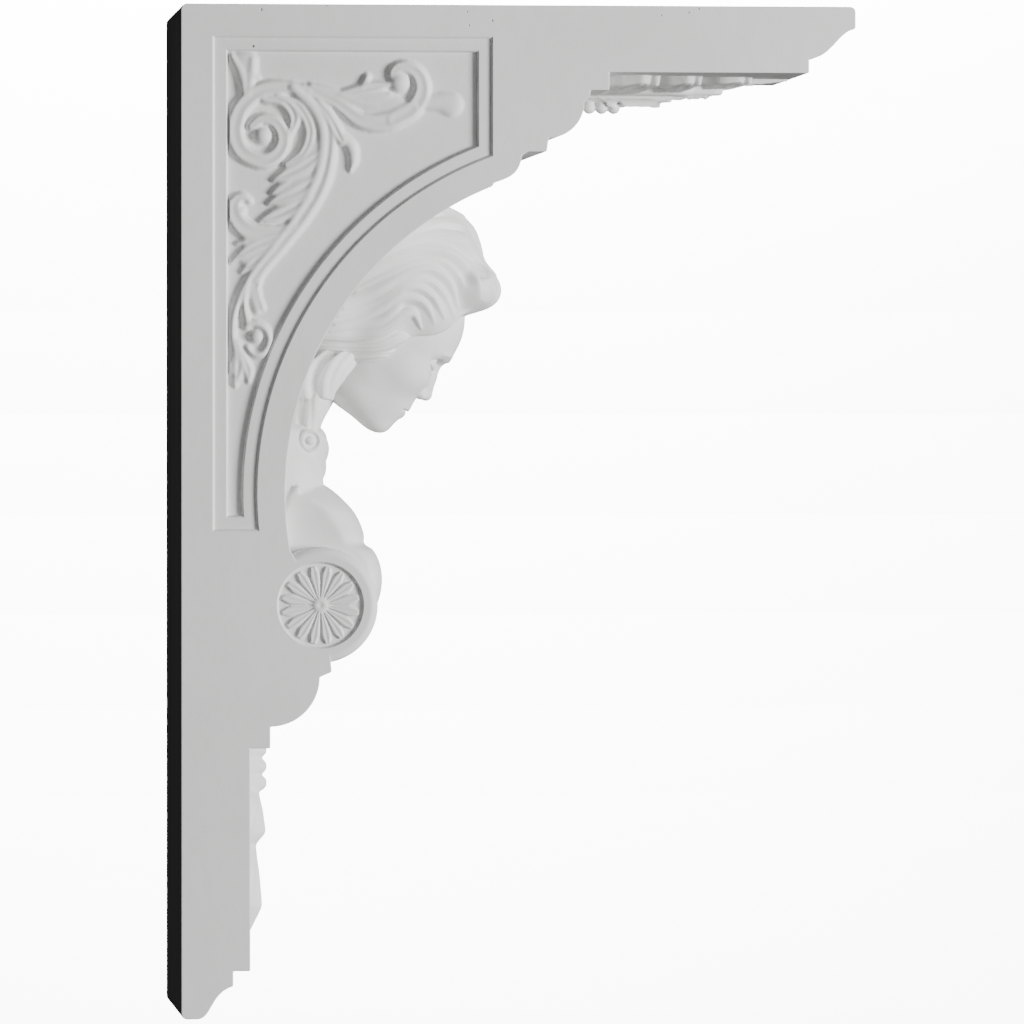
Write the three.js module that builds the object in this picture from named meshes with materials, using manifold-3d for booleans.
// A moulded corbel: a shelf arm and a wall leg joined by an arch, with sunk scroll panels on both
// sides, a bust on a rolled console under the arch, and leaf ornament under the arm and on the leg.
// Millimetres. X runs out from the wall, Y along the wall, Z up. The origin is the middle of the
// back face. The corbel is the same on both sides of Y = 0.
import * as THREE from "three";
import { mergeVertices } from "three/addons/utils/BufferGeometryUtils.js";
import Module from "manifold-3d";

const wasm = await Module();
wasm.setup();

// Overall sizes
const HEIGHT = 508;
const PROJECTION = 340;
const WIDTH = 140;
const BACK_CHAMFER = 3;

// Shelf arm: nose, cyma under it, fascia and flat soffit
const NOSE_HEIGHT = 11;
const ARM_CYMA_RUN = 23.6;
const ARM_CYMA_DROP = 15.4;
const ARM_FASCIA = 7.1;

// Stepped mouldings between the soffit and the arch
const ARM_STEP_X = 215.3;
const ARM_STEP_HEIGHT = 9;
const ARM_STEP_RUN = 9.6;
const ARM_FILLET = 3;
const UPPER_OVOLO_RADIUS = 18;
const UPPER_BEAD_DROP = 7;
const UPPER_BEAD_RUN = 13.5;
const SMALL_OVOLO_RADIUS = 11.5;

// Arch between the arm and the leg
const ARCH_BACK_X = 52.2;
const ARCH_TOP_DROP = 17.44;
const ARCH_RADIUS = 165.6;
const ARCH_TOP_ANGLE = 111.8;
const ARCH_FOOT_ANGLE = 189.1;

// Scroll end discs with a rosette each
const DISC_X = 69.8;
const DISC_DROP = 300.9;
const DISC_RADIUS = 29.1;
const ROSETTE_RADIUS = 21.2;
const ROSETTE_DEPTH = 2.2;
const ROSETTE_RISE = 2;
const ROSETTE_PETALS = 16;
const BUTTON_RADIUS = 4.3;

// Mouldings under the scroll, then the leg and its foot
const LOWER_STEP_X = 75.5;
const LOWER_STEP_DROP = 33.5;
const LOWER_OVOLO_RADIUS = 24.8;
const LEG_FILLET_HEIGHT = 10.8;
const LEG_FILLET_RUN = 10.1;
const LEG_THICKNESS = 34.6;
const FOOT_HEIGHT = 24;
const FOOT_STEP = 8.5;
const FOOT_FLAT = 7.5;

// Sunk panel in each side, its flat band and its inner field
const PANEL_BACK = 16.3;
const PANEL_TOP = 16.4;
const PANEL_FRONT_X = 156;
const PANEL_FOOT_DROP = 263.3;
const PANEL_ARCH_MARGIN = 14.6;
const PANEL_BAND = 6.9;
const BAND_DEPTH = 1.5;
const FIELD_DEPTH = 4;

// Scroll relief in the field, drawn in hundredths of its own height
const RELIEF_HEIGHT = 170;
const RELIEF_RISE = 1;
const SINK = 1;

// Rolled console between the discs
const CONSOLE_WIDTH = 118;
const CONSOLE_BULGE = 32.4;
const CONSOLE_ROUNDING = 9;
const CONSOLE_RISE = 61;
const CONSOLE_CREASE = 8;

// Bust: shoulders, neck, head and hair
const SHOULDER_X = 79;
const SHOULDER_DROP = 213;
const SHOULDER_HEIGHT = 48;
const SHOULDER_WIDTH = 112;
const SHOULDER_DEPTH = 52;
const NECK_RADIUS = 19;
const HEAD_HEIGHT = 90;
const HEAD_ARCH_GAP = 27.6;
const HEAD_ARCH_ANGLE = 143.1;
const HEAD_BOW = 38;
const LOCK_SINK = 10.8;
const BROOCH_RADIUS = 8;
const BROOCH_RISE = 3.5;
const FOLD_LENGTH = 28;
const FOLD_RISE = 3;

// Leaf under the arm, its beads, and the husk drop on the leg
const LEAF_START_X = 206;
const LEAF_TIP_GAP = 2.4;
const LEAF_WIDTH = 88;
const LEAF_HANG = 12;
const BEAD_DIAMETER = 6.3;
const BEADS = 3;
const HUSK_TOP_LAP = 1.5;
const HUSK_FOOT_GAP = 13;
const HUSK_WIDTH = 44;
const HUSK_RISE = 11;
const HUSK_BEAD_RADIUS = 5.4;
const HUSK_BEAD_RISE = 13.2;

const TOP_Z = HEIGHT / 2;
const FOOT_Z = -HEIGHT / 2;
const SIDE_Y = WIDTH / 2;
const SOFFIT_Z = TOP_Z - NOSE_HEIGHT - ARM_CYMA_DROP - ARM_FASCIA;
const OVOLO_Z = SOFFIT_Z - ARM_STEP_HEIGHT - 2 * ARM_FILLET;
const UPPER_BEAD_Z = OVOLO_Z - UPPER_OVOLO_RADIUS - UPPER_BEAD_DROP;
const ARCH_X = ARCH_BACK_X + ARCH_RADIUS;
const ARCH_Z = UPPER_BEAD_Z - ARCH_TOP_DROP - ARCH_RADIUS * Math.sin(degrees(ARCH_TOP_ANGLE));
const DISC_Z = TOP_Z - DISC_DROP;
const PANEL_FOOT_Z = TOP_Z - PANEL_FOOT_DROP;
const SHOULDER_TOP_Z = TOP_Z - SHOULDER_DROP;
const SHOULDER_FOOT_Z = SHOULDER_TOP_Z - SHOULDER_HEIGHT;
const HEAD_ARCH_RADIUS = ARCH_RADIUS - HEAD_ARCH_GAP;
const LEAF_LENGTH = PROJECTION - ARM_CYMA_RUN - LEAF_TIP_GAP - LEAF_START_X;
const LOWER_OVOLO_Z = DISC_Z - LOWER_STEP_DROP - 2.5;
const LEG_FILLET_Z = LOWER_OVOLO_Z - LOWER_OVOLO_RADIUS - LEG_FILLET_HEIGHT;
const HUSK_TOP_Z = LEG_FILLET_Z + HUSK_TOP_LAP;
const HUSK_LENGTH = HUSK_TOP_Z - FOOT_Z - FOOT_HEIGHT - HUSK_FOOT_GAP;

// Solids from geometry

function solid(geometry) {
  const bare = geometry.index ? geometry.toNonIndexed() : geometry.clone();
  const points = new THREE.BufferGeometry();
  points.setAttribute("position", bare.getAttribute("position"));
  const merged = mergeVertices(points, 1e-4);
  const mesh = new wasm.Mesh({
    numProp: 3,
    vertProperties: new Float32Array(merged.getAttribute("position").array),
    triVerts: new Uint32Array(merged.index.array),
  });
  return new wasm.Manifold(mesh);
}

function joined(solids) {
  let level = solids;
  while (level.length > 1) {
    const next = [];
    for (let i = 0; i < level.length; i += 2) {
      next.push(i + 1 < level.length ? level[i].add(level[i + 1]) : level[i]);
    }
    level = next;
  }
  return level[0];
}

function geometryOf(body) {
  const mesh = body.getMesh();
  const geometry = new THREE.BufferGeometry();
  const places = new THREE.BufferAttribute(new Float32Array(mesh.vertProperties), 3);
  geometry.setAttribute("position", places);
  geometry.setIndex(new THREE.BufferAttribute(new Uint32Array(mesh.triVerts), 1));
  return geometry;
}

// A closed body through rings of equal point counts, capped at both ends, with faces outwards.
function loft(rings) {
  const count = rings[0].length;
  const places = rings.flat().flatMap((p) => [p.x, p.y, p.z]);
  const faces = [];
  for (let r = 0; r + 1 < rings.length; r += 1) {
    for (let i = 0; i < count; i += 1) {
      const a = r * count + i;
      const b = r * count + ((i + 1) % count);
      faces.push([a, b, b + count], [a, b + count, a + count]);
    }
  }
  const last = (rings.length - 1) * count;
  for (let i = 1; i + 1 < count; i += 1) {
    faces.push([0, i + 1, i], [last, last + i, last + i + 1]);
  }
  let volume = 0;
  const corner = (i) => new THREE.Vector3().fromArray(places, 3 * i);
  for (const [a, b, c] of faces) volume += corner(a).dot(corner(b).cross(corner(c)));
  if (volume < 0) for (const face of faces) face.reverse();
  const geometry = new THREE.BufferGeometry();
  geometry.setAttribute("position", new THREE.Float32BufferAttribute(places, 3));
  geometry.setIndex(faces.flat());
  return solid(geometry);
}

// A flat outline in X and Z, given thickness along Y about a middle.
function slab(shape, thickness, middle = 0) {
  const options = { depth: thickness, bevelEnabled: false };
  const geometry = new THREE.ExtrudeGeometry(shape, options);
  geometry.rotateX(Math.PI / 2);
  geometry.translate(0, middle + thickness / 2, 0);
  geometry.deleteAttribute("normal");
  geometry.deleteAttribute("uv");
  return solid(geometry);
}

function bothSides(body) {
  return body.add(body.mirror([0, 1, 0]));
}

// The value of a list of evenly spaced values at a share of its length.
function along(values, share) {
  const at = share * (values.length - 1);
  const i = Math.min(Math.floor(at), values.length - 2);
  if (values.length === 1) return values[0];
  return values[i] + (values[i + 1] - values[i]) * (at - i);
}

// Raised strokes: bars swept on a ground, round outside and sunk in the ground
const RIDGE = [[-1, -1], [0, 1], [1, -1]];
const ROUND = [[-1, -1], [-0.58, 0.8], [0.58, 0.8], [1, -1]];

function stroke(points, halfWidths, heights, outwardAt, steps, section = RIDGE, sink = SINK) {
  const line = new THREE.CatmullRomCurve3(points);
  const rings = [];
  for (let i = 0; i <= steps; i += 1) {
    const share = i / steps;
    const at = line.getPoint(share);
    const tangent = line.getTangent(share);
    const out = outwardAt(at);
    out.addScaledVector(tangent, -out.dot(tangent)).normalize();
    const across = new THREE.Vector3().crossVectors(out, tangent);
    const half = along(halfWidths, share);
    const high = along(heights, share);
    const ring = section.map(([side, rise]) =>
      at.clone()
        .addScaledVector(across, side * half)
        .addScaledVector(out, rise > 0 ? rise * high : -sink));
    rings.push(ring);
  }
  return loft(rings);
}

// A low dome on a ground, for berries, eyes of scrolls and beads.
function dome(centre, radius, outward, rise, sides = 7) {
  const out = outward.clone().normalize();
  const first = new THREE.Vector3(0, 0, 1);
  if (Math.abs(out.z) > 0.9) first.set(1, 0, 0);
  const a = new THREE.Vector3().crossVectors(first, out).normalize();
  const b = new THREE.Vector3().crossVectors(out, a);
  const levels = [[1, -SINK], [1, 0.3 * rise], [0.6, rise]];
  const rings = levels.map(([share, high]) => {
    const ring = [];
    for (let i = 0; i < sides; i += 1) {
      const turn = (2 * Math.PI * i) / sides;
      ring.push(centre.clone()
        .addScaledVector(a, radius * share * Math.cos(turn))
        .addScaledVector(b, radius * share * Math.sin(turn))
        .addScaledVector(out, high));
    }
    return ring;
  });
  return loft(rings);
}

// Side outline of the body

function degrees(angle) {
  return (angle * Math.PI) / 180;
}

// Adds an arc, or a smooth double curve, to an outline as short straight lines.
function addArc(shape, x, z, radius, from, to, steps) {
  for (let i = 0; i <= steps; i += 1) {
    const angle = degrees(from + ((to - from) * i) / steps);
    shape.lineTo(x + radius * Math.cos(angle), z + radius * Math.sin(angle));
  }
}

function addCurve(shape, points, steps) {
  const curve = new THREE.CubicBezierCurve(...points.map(([x, z]) => new THREE.Vector2(x, z)));
  for (const p of curve.getPoints(steps)) shape.lineTo(p.x, p.y);
}

function archPoint(angle) {
  const x = ARCH_X + ARCH_RADIUS * Math.cos(degrees(angle));
  const z = ARCH_Z + ARCH_RADIUS * Math.sin(degrees(angle));
  return [x, z];
}

function drawArm(shape) {
  const noseFoot = TOP_Z - NOSE_HEIGHT;
  const fasciaX = PROJECTION - ARM_CYMA_RUN;
  const fasciaTop = noseFoot - ARM_CYMA_DROP;
  shape.lineTo(PROJECTION, TOP_Z);
  addCurve(shape, [
    [PROJECTION, noseFoot],
    [PROJECTION - 0.38 * ARM_CYMA_RUN, noseFoot - 0.1 * ARM_CYMA_DROP],
    [fasciaX + 0.5 * ARM_CYMA_RUN, fasciaTop + 0.06 * ARM_CYMA_DROP],
    [fasciaX, fasciaTop],
  ], 7);
  shape.lineTo(fasciaX, SOFFIT_Z);
  shape.lineTo(ARM_STEP_X, SOFFIT_Z);
}

function drawUpperMouldings(shape) {
  const stepZ = SOFFIT_Z - ARM_STEP_HEIGHT;
  const filletX = ARM_STEP_X - ARM_STEP_RUN;
  const ovoloX = filletX - ARM_FILLET;
  shape.lineTo(ARM_STEP_X, stepZ);
  shape.lineTo(filletX, stepZ);
  shape.lineTo(filletX, OVOLO_Z + ARM_FILLET);
  const centreX = ovoloX - UPPER_OVOLO_RADIUS;
  addArc(shape, centreX, OVOLO_Z, UPPER_OVOLO_RADIUS, 0, -90, 6);
  shape.lineTo(centreX - 1, UPPER_BEAD_Z);
  const [archX, archZ] = archPoint(ARCH_TOP_ANGLE);
  const smallX = Math.max(centreX - UPPER_BEAD_RUN, archX + SMALL_OVOLO_RADIUS);
  const smallZ = archZ + SMALL_OVOLO_RADIUS + 1;
  const smallEnd = [archX + 1, archZ + 2];
  shape.lineTo(smallX + 3, Math.max(UPPER_BEAD_Z, smallZ + 1.5));
  const turn = 0.5 * SMALL_OVOLO_RADIUS;
  const smallTop = [smallX, Math.max(UPPER_BEAD_Z - 2, smallZ)];
  addCurve(shape, [smallTop, [smallX - 1, smallZ - turn], [smallX - turn, archZ + 4], smallEnd], 5);
}

function drawArch(shape) {
  addArc(shape, ARCH_X, ARCH_Z, ARCH_RADIUS, ARCH_TOP_ANGLE, ARCH_FOOT_ANGLE, 18);
  shape.lineTo(DISC_X, DISC_Z);
}

function drawLeg(shape) {
  const filletX = LEG_THICKNESS + LEG_FILLET_RUN;
  const ovoloX = filletX + LOWER_OVOLO_RADIUS;
  const stepX = Math.max(LOWER_STEP_X, ovoloX + 1);
  shape.lineTo(stepX, DISC_Z);
  shape.lineTo(stepX, DISC_Z - LOWER_STEP_DROP);
  addArc(shape, filletX, LOWER_OVOLO_Z, LOWER_OVOLO_RADIUS, 0, -90, 7);
  shape.lineTo(filletX, LEG_FILLET_Z);
  shape.lineTo(LEG_THICKNESS, LEG_FILLET_Z);
  const stepZ = FOOT_Z + FOOT_HEIGHT;
  const footX = LEG_THICKNESS - FOOT_STEP;
  const cymaZ = stepZ - FOOT_FLAT;
  const cymaDrop = cymaZ - FOOT_Z;
  shape.lineTo(LEG_THICKNESS, stepZ);
  shape.lineTo(footX, stepZ);
  addCurve(shape, [
    [footX, cymaZ],
    [0.55 * footX, cymaZ - 0.2 * cymaDrop],
    [0.6 * footX, FOOT_Z],
    [0.3 * footX, FOOT_Z],
  ], 7);
}

function bodyOutline() {
  const shape = new THREE.Shape();
  shape.moveTo(BACK_CHAMFER, FOOT_Z);
  shape.lineTo(0, FOOT_Z + BACK_CHAMFER);
  shape.lineTo(0, TOP_Z - BACK_CHAMFER);
  shape.lineTo(BACK_CHAMFER, TOP_Z);
  drawArm(shape);
  drawUpperMouldings(shape);
  drawArch(shape);
  drawLeg(shape);
  return shape;
}

// Sunk side panels

function panelOutline(inset) {
  const back = PANEL_BACK + inset;
  const top = TOP_Z - PANEL_TOP - inset;
  const front = PANEL_FRONT_X - inset;
  const foot = PANEL_FOOT_Z + inset;
  const radius = ARCH_RADIUS + PANEL_ARCH_MARGIN + inset;
  const upper = (Math.acos((front - ARCH_X) / radius) * 180) / Math.PI;
  const lower = 180 - (Math.asin((foot - ARCH_Z) / radius) * 180) / Math.PI;
  const shape = new THREE.Shape();
  shape.moveTo(back, foot);
  shape.lineTo(back, top);
  shape.lineTo(front, top);
  addArc(shape, ARCH_X, ARCH_Z, radius, upper, lower, 12);
  return shape;
}

function panelCut() {
  const over = 1;
  const band = slab(panelOutline(0), BAND_DEPTH + over, -SIDE_Y + (BAND_DEPTH - over) / 2);
  const fieldMiddle = -SIDE_Y + (FIELD_DEPTH - over) / 2;
  const field = slab(panelOutline(PANEL_BAND), FIELD_DEPTH + over, fieldMiddle);
  return bothSides(band.add(field));
}

// Scroll relief. Each stroke is its line in hundredths of the relief's height, from the upper
// back corner of the field, then half widths in the same measure and rises in millimetres.
const RELIEF = [
  [[[3.5, -88.5], [2.4, -78], [5.9, -68], [13.5, -59.4], [22.4, -50], [27.6, -40], [29.7, -29.4],
    [27.9, -20.6], [23.2, -13.8]], [1.2, 2.2], [2.4, 3.6], 8],
  [[[16.2, -32.6], [20.6, -31.8], [22.9, -27.6], [22.6, -22.4], [20, -17.6], [15, -15.6],
    [10.6, -15.9]], [1.5, 1.8, 1.2], [3, 3], 6],
  [[[27, -13.8], [30.6, -17.6], [33.8, -22.4], [36.5, -25.3]], [0.9, 2.4, 2], [3, 3.8], 4],
  [[[36.5, -25.3], [37.4, -29.4], [36.8, -35.6]], [1.5, 2, 0.6], [2.4, 2.2], 3],
  [[[25.3, -13.5], [32, -17], [38.8, -20.6], [45.3, -21.2], [51.8, -18.2]], [1.2, 2, 2.4],
    [3, 4], 6],
  [[[49.7, -19.1], [55.3, -15.6], [58.5, -10.6], [56.5, -6.2], [52.4, -5.3], [49.4, -7.4]],
    [2.4, 2, 1.2], [4, 3.4], 6],
  [[[33.5, -15.3], [40, -13.5], [46.8, -11.2]], [1.2, 2.2, 0.9], [2.6, 2.6], 4],
  [[[38.2, -12.6], [39.7, -10], [40.9, -7.4]], [1.2, 1.2, 0.9], [2.4, 2.2], 2],
  [[[56.5, -16.5], [61.8, -15.9], [68.2, -15.9]], [1.8, 2.6, 3.2], [2.2, 1.8], 4],
  [[[28.2, -28.8], [23.2, -34.1], [17.4, -37], [12.6, -38.8]], [1.2, 2.4, 0.6], [3.2, 2.8], 4],
  [[[28.2, -34.1], [23.2, -39.4], [18.8, -41.8], [14.7, -43.5]], [1.2, 2, 0.6], [3, 2.8], 4],
  [[[27, -39.4], [21.8, -44.4], [16.5, -46.8], [11.2, -46.8]], [1.2, 2.1, 0.9], [3, 2.8], 4],
  [[[24.1, -47], [17.4, -51.5], [10, -52.9], [4.1, -50.6], [1.8, -46.5], [2.6, -43.5],
    [5, -43.2]], [1.2, 2.4, 1.2], [3.2, 4], 7],
  [[[18.8, -52.9], [12.4, -55.9], [5.6, -56.2]], [0.9, 1.5, 0.9], [2.6, 2.4], 3],
  [[[17.4, -54.7], [9.4, -59.4], [1, -61.8]], [0.9, 2.1, 0.6], [3, 2.6], 4],
  [[[12.9, -58.8], [7.6, -62.9], [4.1, -65]], [0.9, 1.5, 0.6], [2.6, 2.4], 3],
  [[[7.1, -67], [5.3, -73], [6.2, -78.2], [9.4, -80.9]], [0.9, 0.9, 1.2], [2.2, 2.4], 4],
  [[[7.1, -80.3], [10.6, -80.6], [12.9, -84.1], [11.8, -87.9], [8.2, -89.1], [6.2, -87]],
    [1.2, 1.2, 0.9], [2.6, 2.6], 6],
  [[[3.5, -85], [3.5, -91.5], [1.5, -99]], [1.2, 2.1, 0.6], [2.8, 2.4], 4],
  [[[4.7, -86.5], [6.2, -92.4], [7.1, -97.4]], [0.9, 1.5, 0.9], [2.4, 2.2], 3],
  [[[4.7, -13.2], [4.4, -8.2], [2.4, -4.4], [0.6, -2.2]], [1.5, 2.1, 1.2], [3, 2.6], 4],
  [[[5.6, -13.2], [6.8, -8.2], [7.6, -3]], [1.2, 1.5, 1.4], [2.6, 2.6], 3],
];

// Turn in degrees and radius, in hundredths, of the large volute about its eye.
const VOLUTE = [[50, 18], [90, 13.2], [130, 10.6], [170, 9], [210, 8.3], [260, 8], [310, 6.9],
  [360, 6.2], [430, 5.3], [500, 4.2]];
const EYES = [[10.6, -25.3, 3.2], [50.9, -9.4, 2.6], [8.5, -84.1, 2.2]];

function fieldPoint(x, z) {
  const unit = RELIEF_HEIGHT / 100;
  const back = PANEL_BACK + PANEL_BAND;
  const top = TOP_Z - PANEL_TOP - PANEL_BAND;
  return new THREE.Vector3(back + x * unit, -SIDE_Y + FIELD_DEPTH, top + z * unit);
}

function sideRelief() {
  const unit = RELIEF_HEIGHT / 100;
  const outward = () => new THREE.Vector3(0, -1, 0);
  const parts = RELIEF.map(([line, widths, rises, steps]) => {
    const points = line.map(([x, z]) => fieldPoint(x, z));
    const halfWidths = widths.map((w) => w * unit);
    const heights = rises.map((r) => r * RELIEF_RISE);
    const section = steps > 6 ? ROUND : RIDGE;
    return stroke(points, halfWidths, heights, outward, steps, section);
  });
  const [eyeX, eyeZ] = EYES[0];
  const volute = VOLUTE.map(([turn, radius]) => {
    const angle = degrees(turn);
    return fieldPoint(eyeX + radius * Math.cos(angle), eyeZ + radius * Math.sin(angle));
  });
  const voluteWidths = [1.5, 2.4, 2.2, 1.6].map((w) => w * unit);
  const voluteRises = [3.4 * RELIEF_RISE, 3.8 * RELIEF_RISE];
  parts.push(stroke(volute, voluteWidths, voluteRises, outward, 13, ROUND));
  for (const [x, z, radius] of EYES) {
    parts.push(dome(fieldPoint(x, z), radius * unit, outward(), 3.8 * RELIEF_RISE));
  }
  return bothSides(joined(parts));
}

// Scroll discs and rosettes

function disc(radius, thickness, middle, segments) {
  const shape = new THREE.Shape();
  shape.moveTo(DISC_X + radius, DISC_Z);
  addArc(shape, DISC_X, DISC_Z, radius, 360 / segments, 360 - 360 / segments, segments - 2);
  return slab(shape, thickness, middle);
}

function rosetteCut() {
  const over = 1;
  const middle = -SIDE_Y + (ROSETTE_DEPTH - over) / 2;
  return bothSides(disc(ROSETTE_RADIUS, ROSETTE_DEPTH + over, middle, 24));
}

function rosette() {
  const ground = -SIDE_Y + ROSETTE_DEPTH;
  const outward = () => new THREE.Vector3(0, -1, 0);
  const reach = [0.24, 0.78, 0.95];
  const widest = ROSETTE_RADIUS * Math.sin(Math.PI / ROSETTE_PETALS);
  const section = [[-1, -SINK], [0, ROSETTE_RISE], [1, -SINK]];
  const halves = [0.2, 0.72, 0.4].map((share) => share * widest);
  const parts = [];
  for (let i = 0; i < ROSETTE_PETALS; i += 1) {
    const angle = (2 * Math.PI * (i + 0.5)) / ROSETTE_PETALS;
    const radial = new THREE.Vector3(Math.cos(angle), 0, Math.sin(angle));
    const across = new THREE.Vector3(-Math.sin(angle), 0, Math.cos(angle));
    const rings = reach.map((share, k) => section.map(([side, rise]) => {
      const high = rise > 0 && k === reach.length - 1 ? 0.5 * rise : rise;
      return new THREE.Vector3(DISC_X, ground, DISC_Z)
        .addScaledVector(radial, share * ROSETTE_RADIUS)
        .addScaledVector(across, side * halves[k])
        .addScaledVector(outward(), high);
    }));
    parts.push(loft(rings));
  }
  const centre = new THREE.Vector3(DISC_X, ground, DISC_Z);
  parts.push(dome(centre, BUTTON_RADIUS, outward(), ROSETTE_DEPTH, 8));
  return bothSides(joined(parts));
}

// Rolled band: it swells out of the shoulders in an S, creases and curls between the discs, and
// its two edges are rounded.
function rolledBand() {
  const front = DISC_X + CONSOLE_BULGE;
  const startX = SHOULDER_X - 0.07 * CONSOLE_RISE;
  const height = (share) => DISC_Z + share * CONSOLE_RISE;
  const crease = [front - CONSOLE_CREASE, height(0.52)];
  const shape = new THREE.Shape();
  shape.moveTo(LEG_THICKNESS, height(0.2));
  shape.lineTo(DISC_X - 0.35 * DISC_RADIUS, height(1));
  addCurve(shape, [
    [startX, height(1)],
    [startX + 0.2 * CONSOLE_RISE, height(0.92)],
    [crease[0], height(0.75)],
    crease,
  ], 5);
  addCurve(shape, [
    crease,
    [front + 0.06 * CONSOLE_BULGE, height(0.39)],
    [front + 0.12 * CONSOLE_BULGE, height(0.1)],
    [front - 0.19 * CONSOLE_BULGE, height(-0.13)],
  ], 5);
  shape.lineTo(DISC_X + 0.5 * DISC_RADIUS, height(-0.33));
  shape.lineTo(LEG_THICKNESS, height(-0.33));
  const outline = shape.getPoints().filter((p, i, all) => i === 0 || p.distanceTo(all[i - 1]) > 0.01);
  const half = CONSOLE_WIDTH / 2;
  const edges = [[1, 1], [0.75, 0.4], [0.3, 0.08], [0, 0]];
  const levels = edges.map(([out, drop]) => [half - CONSOLE_ROUNDING * (1 - out), drop]);
  const near = levels.map(([y, drop]) => [-y, drop]);
  const rings = [...near, ...levels.reverse()].map(([y, drop]) => outline.map((p) => {
    const reach = 1 - (drop * CONSOLE_ROUNDING) / (CONSOLE_BULGE + 0.5 * DISC_RADIUS);
    const back = p.x < DISC_X - 0.4 * DISC_RADIUS;
    const x = back ? p.x : DISC_X - 0.5 * DISC_RADIUS + (p.x - DISC_X + 0.5 * DISC_RADIUS) * reach;
    return new THREE.Vector3(x, y, p.y);
  }));
  return loft(rings);
}

// Head frame: forward out of the face, side along Y, up to the crown, in shares of head height.
const BOW = degrees(HEAD_BOW);
const HEAD_FORWARD = new THREE.Vector3(Math.cos(BOW), 0, -Math.sin(BOW));
const HEAD_UP = new THREE.Vector3(Math.sin(BOW), 0, Math.cos(BOW));
const HEAD_TURN = degrees(HEAD_ARCH_ANGLE);
const HEAD_CENTRE = new THREE.Vector3(
  ARCH_X + HEAD_ARCH_RADIUS * Math.cos(HEAD_TURN), 0, ARCH_Z + HEAD_ARCH_RADIUS * Math.sin(HEAD_TURN));

function headPoint(forward, side, up) {
  return HEAD_CENTRE.clone()
    .addScaledVector(HEAD_FORWARD, forward * HEAD_HEIGHT)
    .addScaledVector(HEAD_UP, up * HEAD_HEIGHT)
    .add(new THREE.Vector3(0, side * HEAD_HEIGHT, 0));
}

// Lumps of the head as centre and radii (forward, side, up). A side lump stands on both sides.
const HEAD_LUMPS = [
  { at: [-0.04, 0, 0.12], size: [0.44, 0.335, 0.38], blend: 0 },
  { at: [0.06, 0, -0.13], size: [0.31, 0.262, 0.35], blend: 0.06 },
  { at: [0.24, 0, -0.42], size: [0.11, 0.1, 0.08], blend: 0.05 },
  { at: [0.02, 0, -0.38], size: [0.24, 0.18, 0.1], blend: 0.05 },
  { at: [0.2, 0.14, -0.12], size: [0.13, 0.11, 0.11], blend: 0.05 },
  { at: [0.305, 0.1, 0.1], size: [0.075, 0.12, 0.035], blend: 0.03 },
  { at: [0.395, 0, -0.03], size: [0.04, 0.032, 0.14], blend: 0.02 },
  { at: [0.42, 0, -0.155], size: [0.07, 0.04, 0.045], blend: 0.015 },
  { at: [0.375, 0.045, -0.175], size: [0.05, 0.03, 0.028], blend: 0.01 },
  { at: [0.345, 0, -0.268], size: [0.055, 0.08, 0.02], blend: 0.01 },
  { at: [0.335, 0, -0.318], size: [0.055, 0.066, 0.024], blend: 0.01 },
  { at: [0.285, 0.125, 0], size: [0.065, 0.065, 0.036], blend: 0.01 },
];

function lumpDistance(lump, f, s, u) {
  const [cf, cs, cu] = lump.at;
  const [rf, rs, ru] = lump.size;
  const side = cs > 0 ? Math.abs(s) : s;
  const reach = Math.hypot((f - cf) / rf, (side - cs) / rs, (u - cu) / ru);
  return (reach - 1) * Math.min(rf, rs, ru);
}

function blended(a, b, width) {
  if (width === 0) return Math.min(a, b);
  const h = Math.max(width - Math.abs(a - b), 0) / width;
  return Math.min(a, b) - (h * h * width) / 4;
}

function headDistance(f, s, u) {
  let distance = Infinity;
  for (const lump of HEAD_LUMPS) {
    const next = lumpDistance(lump, f, s, u);
    distance = distance === Infinity ? next : blended(distance, next, lump.blend);
  }
  return distance;
}

// The outermost surface on a ray from the middle of the head.
function headReach(direction) {
  let reach = 0.75;
  while (reach > 0.1) {
    const [f, s, u] = direction.map((c) => c * reach);
    const distance = headDistance(f, s, u);
    if (distance < 0.002) break;
    reach -= Math.max(0.6 * distance, 0.002);
  }
  return reach;
}

function head() {
  const levels = [-86, -72, -60, -51, -43, -37, -31, -25, -18, -9, 0, 8, 18, 50, 80];
  const turns = [0, 8, 16, 25, 38, 60, 100, 180];
  const around = [...turns, ...turns.slice(1, -1).reverse().map((t) => -t)];
  const rings = levels.map((level) => around.map((turn) => {
    const flat = Math.cos(degrees(level));
    const direction = [
      flat * Math.cos(degrees(turn)),
      flat * Math.sin(degrees(turn)),
      Math.sin(degrees(level)),
    ];
    const reach = headReach(direction);
    return headPoint(...direction.map((c) => c * reach));
  }));
  return loft(rings);
}

// Hair lumps that sit behind the hairline: cap, front roll, crown and the mass into the arch.
const HAIR_LUMPS = [
  { at: [-0.12, 0.22], size: [0.42, 0.44, 0.45] },
  { at: [0.21, 0.5], size: [0.2, 0.27, 0.12] },
  { at: [0, 0.5], size: [0.29, 0.34, 0.28] },
  { at: [-0.3, 0.35], size: [0.34, 0.4, 0.36] },
];

function ellipsoid(lump) {
  const levels = [-66, -33, 0, 33, 66];
  const count = 10;
  const rings = levels.map((level) => {
    const ring = [];
    for (let i = 0; i < count; i += 1) {
      const turn = (2 * Math.PI * i) / count;
      const flat = Math.cos(degrees(level));
      ring.push(headPoint(
        lump.at[0] + lump.size[0] * flat * Math.cos(turn),
        lump.size[1] * flat * Math.sin(turn),
        lump.at[1] + lump.size[2] * Math.sin(degrees(level))));
    }
    return ring;
  });
  return loft(rings);
}

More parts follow.
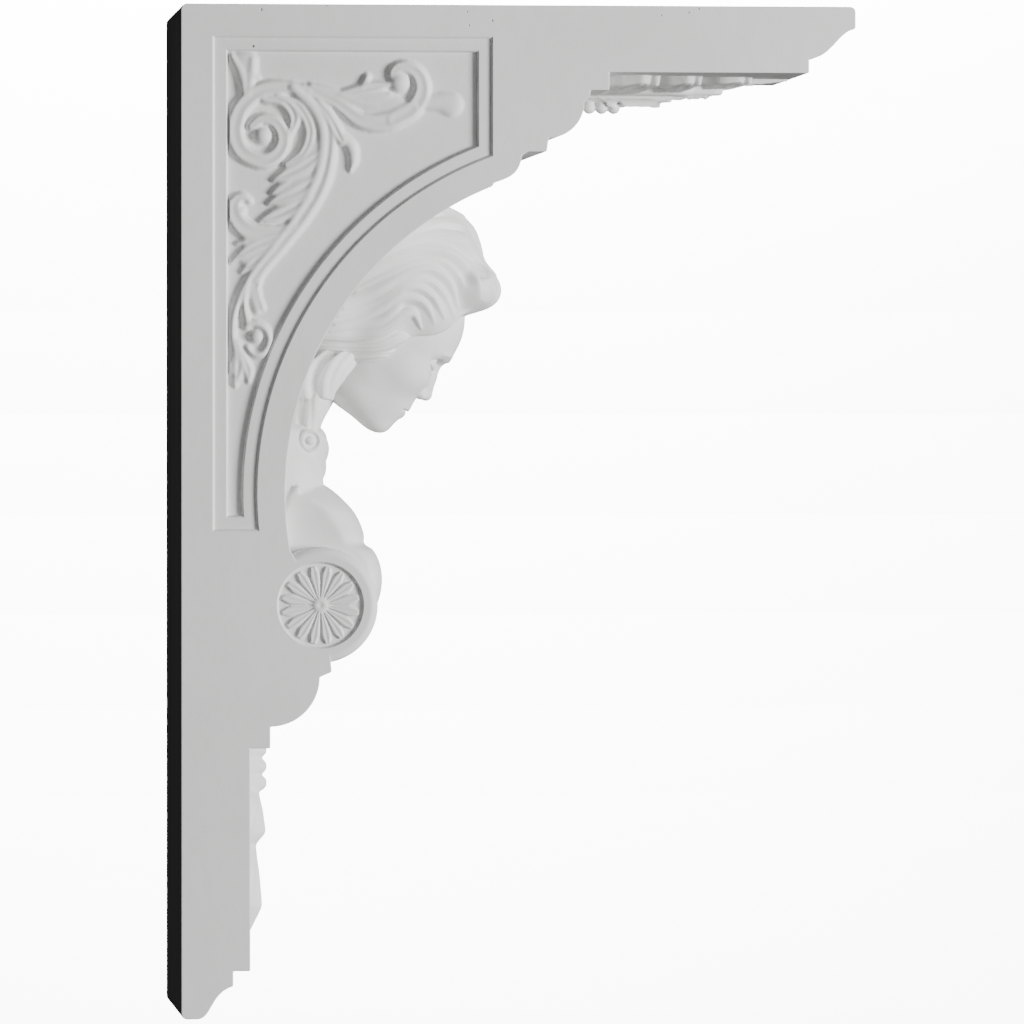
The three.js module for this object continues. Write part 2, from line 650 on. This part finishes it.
// How far out to the side the hair stands at a place in the side view of the head.
function hairSide(forward, up) {
  let side = 0.05;
  for (const { at, size } of HAIR_LUMPS) {
    const inside = 1 - ((forward - at[0]) / size[0]) ** 2 - ((up - at[1]) / size[2]) ** 2;
    if (inside > 0) side = Math.max(side, size[1] * Math.sqrt(inside));
  }
  return side;
}

// Locks of hair as lines in the side view of the head, forward and up, then half width.
const LOCKS = [
  [[0.36, 0.5], [0.24, 0.6], [0.06, 0.62], [-0.14, 0.58], [-0.34, 0.46], 0.045],
  [[0.34, 0.42], [0.2, 0.5], [0.02, 0.5], [-0.16, 0.45], [-0.34, 0.34], 0.05],
  [[0.28, 0.36], [0.14, 0.4], [-0.02, 0.38], [-0.18, 0.36], [-0.36, 0.22], 0.05],
  [[0.23, 0.24], [0.1, 0.24], [-0.04, 0.18], [-0.2, 0.2], [-0.38, 0.06], 0.055],
  [[0.14, 0.1], [0.04, 0.04], [-0.1, -0.02], [-0.24, 0.02], [-0.4, -0.1], 0.045],
  [[-0.02, -0.04], [-0.12, -0.12], [-0.2, -0.24], [-0.26, -0.36], [-0.34, -0.5], 0.05],
  [[-0.14, -0.02], [-0.24, -0.12], [-0.3, -0.26], [-0.36, -0.4], [-0.4, -0.56], 0.05],
  [[0.02, 0.72], [-0.1, 0.73], [-0.24, 0.68], [-0.38, 0.56], [-0.5, 0.4], 0.045],
];

function hair() {
  const parts = HAIR_LUMPS.map(ellipsoid);
  const outward = (p) => p.clone().sub(HEAD_CENTRE);
  for (const lock of LOCKS) {
    const half = lock[lock.length - 1] * HEAD_HEIGHT;
    const points = lock.slice(0, -1).map(([f, u]) => headPoint(f, -hairSide(f, u), u));
    const one = stroke(points, [0.5 * half, half, 0.6 * half], [0.5 * half, 0.9 * half],
      outward, 4, RIDGE, LOCK_SINK);
    parts.push(one, one.mirror([0, 1, 0]));
  }
  const rollHalf = 0.07 * HEAD_HEIGHT;
  const roll = [-0.2, -0.1, 0, 0.1, 0.2].map((s) => headPoint(0.33 - 2 * s * s, s, 0.52));
  parts.push(stroke(roll, [rollHalf, rollHalf], [rollHalf, rollHalf], outward, 6, RIDGE,
    LOCK_SINK));
  return joined(parts);
}

// Shoulders, neck and a round brooch on each shoulder

function oval(x, z, depth, width, count = 14) {
  const ring = [];
  for (let i = 0; i < count; i += 1) {
    const turn = (2 * Math.PI * i) / count;
    ring.push(new THREE.Vector3(x + depth * Math.cos(turn), width * Math.sin(turn), z));
  }
  return ring;
}

function shoulders() {
  const half = SHOULDER_WIDTH / 2;
  const deep = SHOULDER_DEPTH / 2;
  const x = SHOULDER_X - deep;
  const rise = SHOULDER_TOP_Z - SHOULDER_FOOT_Z;
  // Shares of height, of half depth and of half width, from the foot to the root of the neck.
  const levels = [[0, 0.95, 0.96], [0.5, 0.96, 0.98], [0.88, 1, 1], [1, 0.85, 0.94],
    [1.14, 0.66, 0.6], [1.28, 0.54, 0.3]];
  return loft(levels.map(([up, depth, width]) =>
    oval(x, SHOULDER_FOOT_Z + up * rise, depth * deep, width * half)));
}

function neck() {
  const foot = new THREE.Vector3(SHOULDER_X - 0.46 * SHOULDER_DEPTH, 0, SHOULDER_TOP_Z - 8);
  const nape = headPoint(-0.15, 0, -0.22);
  const middle = foot.clone().lerp(nape, 0.5);
  return loft([[foot, 1.25], [middle, 1], [nape, 1]].map(([at, share]) =>
    oval(at.x, at.z, share * NECK_RADIUS, share * NECK_RADIUS, 12)));
}

function drapery() {
  const half = SHOULDER_WIDTH / 2;
  const front = SHOULDER_X - 0.08 * SHOULDER_DEPTH;
  const place = new THREE.Vector3(SHOULDER_X - 8, -0.66 * half, SHOULDER_TOP_Z - 7);
  const parts = [dome(place, BROOCH_RADIUS, new THREE.Vector3(0.72, -0.7, 0), BROOCH_RISE, 9)];
  for (const share of [-0.6, -0.35, -0.12]) {
    const points = [
      new THREE.Vector3(front - 4, share * half, SHOULDER_TOP_Z - 0.07 * FOLD_LENGTH),
      new THREE.Vector3(front, 0.9 * share * half, SHOULDER_TOP_Z - 0.57 * FOLD_LENGTH),
      new THREE.Vector3(front, 0.7 * share * half, SHOULDER_TOP_Z - FOLD_LENGTH),
    ];
    const forward = () => new THREE.Vector3(1, 0, 0);
    parts.push(stroke(points, [2, 4, 3], [0.66 * FOLD_RISE, FOLD_RISE], forward, 4));
  }
  return bothSides(joined(parts));
}

function bust() {
  return joined([shoulders(), neck(), drapery()]);
}

// Leaf under the arm. Lobes of its outer layer as a line in shares of its length and half width,
// then half width and hang in shares of its own. Parts of its middle as start and end, then half
// width at both ends and hang at both ends.
const LEAF_LOBES = [
  [[[0.06, 0.15], [0.19, 0.5], [0.3, 0.84]], 0.135, 0.74],
  [[[0.28, 0.1], [0.42, 0.42], [0.53, 0.7]], 0.115, 0.66],
  [[[0.52, 0.05], [0.66, 0.26], [0.78, 0.46]], 0.11, 0.5],
];
const LEAF_MIDDLE = [
  [[0.02, 0.43], [0.2, 0.19], [0.98, 1]],
  [[0.36, 0.63], [0.16, 0.09], [1, 0.92]],
  [[0.14, 0.4], [0.09, 0.08], [1.3, 1.3]],
  [[0.58, 0.99], [0.11, 0.02], [0.6, 0.16]],
];

function leafPoint(share, side) {
  const x = LEAF_START_X + share * LEAF_LENGTH;
  return new THREE.Vector3(x, (side * LEAF_WIDTH) / 2, SOFFIT_Z);
}

function soffitLeaf() {
  const outward = () => new THREE.Vector3(0, 0, -1);
  const flat = 1 / ROUND[1][1];
  const parts = [];
  for (const [line, wide, hang] of LEAF_LOBES) {
    const half = wide * LEAF_WIDTH;
    const high = flat * hang * LEAF_HANG;
    for (const mirror of [-1, 1]) {
      const points = line.map(([share, side]) => leafPoint(share, mirror * side));
      parts.push(stroke(points, [0.7 * half, half, 0.9 * half, 0.3 * half], [high, high, 0.7 * high],
        outward, 4, ROUND));
    }
  }
  for (const [[from, to], [first, last], [start, end]] of LEAF_MIDDLE) {
    const points = [0, 0.5, 1].map((k) => leafPoint(from + (to - from) * k, 0));
    const halves = [0.8 * first, 0.5 * (first + last), last].map((share) => share * LEAF_WIDTH);
    const highs = [start, 0.5 * (start + end), end].map((share) => flat * share * LEAF_HANG);
    parts.push(stroke(points, halves, highs, outward, 4, ROUND));
  }
  const size = BEAD_DIAMETER;
  for (let i = 0; i < BEADS; i += 1) {
    const place = leafPoint(0, 0);
    place.x += (i + 1) * size;
    place.z -= 1.1 * LEAF_HANG - 2;
    parts.push(dome(place, size / 2, outward(), size));
  }
  return joined(parts);
}

// Drop on the leg: a chain of beads, then two husks, each a middle petal between two spread ones.
// A husk is its start and end in shares of the drop's length, then its size.
const HUSK_BEADS = [0.045, 0.13, 0.215];
const HUSKS = [[0.26, 0.56, 1], [0.54, 0.99, 0.86]];

function huskPoint(side, drop) {
  return new THREE.Vector3(LEG_THICKNESS, (side * HUSK_WIDTH) / 2, HUSK_TOP_Z - drop * HUSK_LENGTH);
}

function huskDrop() {
  const outward = () => new THREE.Vector3(1, 0, 0);
  const stem = [0, 0.2, 0.4].map((drop) => huskPoint(0, drop));
  const parts = [stroke(stem, [0.12 * HUSK_WIDTH], [0.8 * HUSK_RISE], outward, 2, ROUND)];
  for (const drop of HUSK_BEADS) {
    parts.push(dome(huskPoint(0, drop), HUSK_BEAD_RADIUS, outward(), HUSK_BEAD_RISE));
  }
  for (const [from, to, size] of HUSKS) {
    const at = (share) => from + (to - from) * share;
    const high = HUSK_RISE * size;
    const wide = 0.16 * HUSK_WIDTH * size;
    const centre = [0, 0.5, 1].map((share) => huskPoint(0, at(share)));
    parts.push(stroke(centre, [0.6 * wide, wide, 0.9 * wide, 0.2 * wide],
      [0.9 * high, 1.1 * high, 1.25 * high, 0.5 * high], outward, 4, ROUND));
    for (const side of [-1, 1]) {
      const spread = [
        huskPoint(0.1 * side, at(0)),
        huskPoint(0.5 * size * side, at(0.45)),
        huskPoint(0.78 * size * side, at(0.86)),
      ];
      parts.push(stroke(spread, [0.5 * wide, wide, 0.3 * wide],
        [0.8 * high, 0.9 * high, 0.4 * high], outward, 4, ROUND));
    }
  }
  return joined(parts);
}

function corbel() {
  const body = slab(bodyOutline(), WIDTH).add(disc(DISC_RADIUS, WIDTH, 0, 30));
  const carved = body.subtract(panelCut()).subtract(rosetteCut());
  const whole = joined([
    carved, sideRelief(), rosette(), rolledBand(), bust(), head(), hair(), soffitLeaf(), huskDrop(),
  ]);
  const material = new THREE.MeshStandardMaterial({
    color: 0xe8e7e4, roughness: 0.72, metalness: 0,
  });
  const mesh = new THREE.Mesh(geometryOf(whole), material);
  mesh.name = "corbel";
  return mesh;
}

const group = new THREE.Group();
group.add(corbel());

export default group;
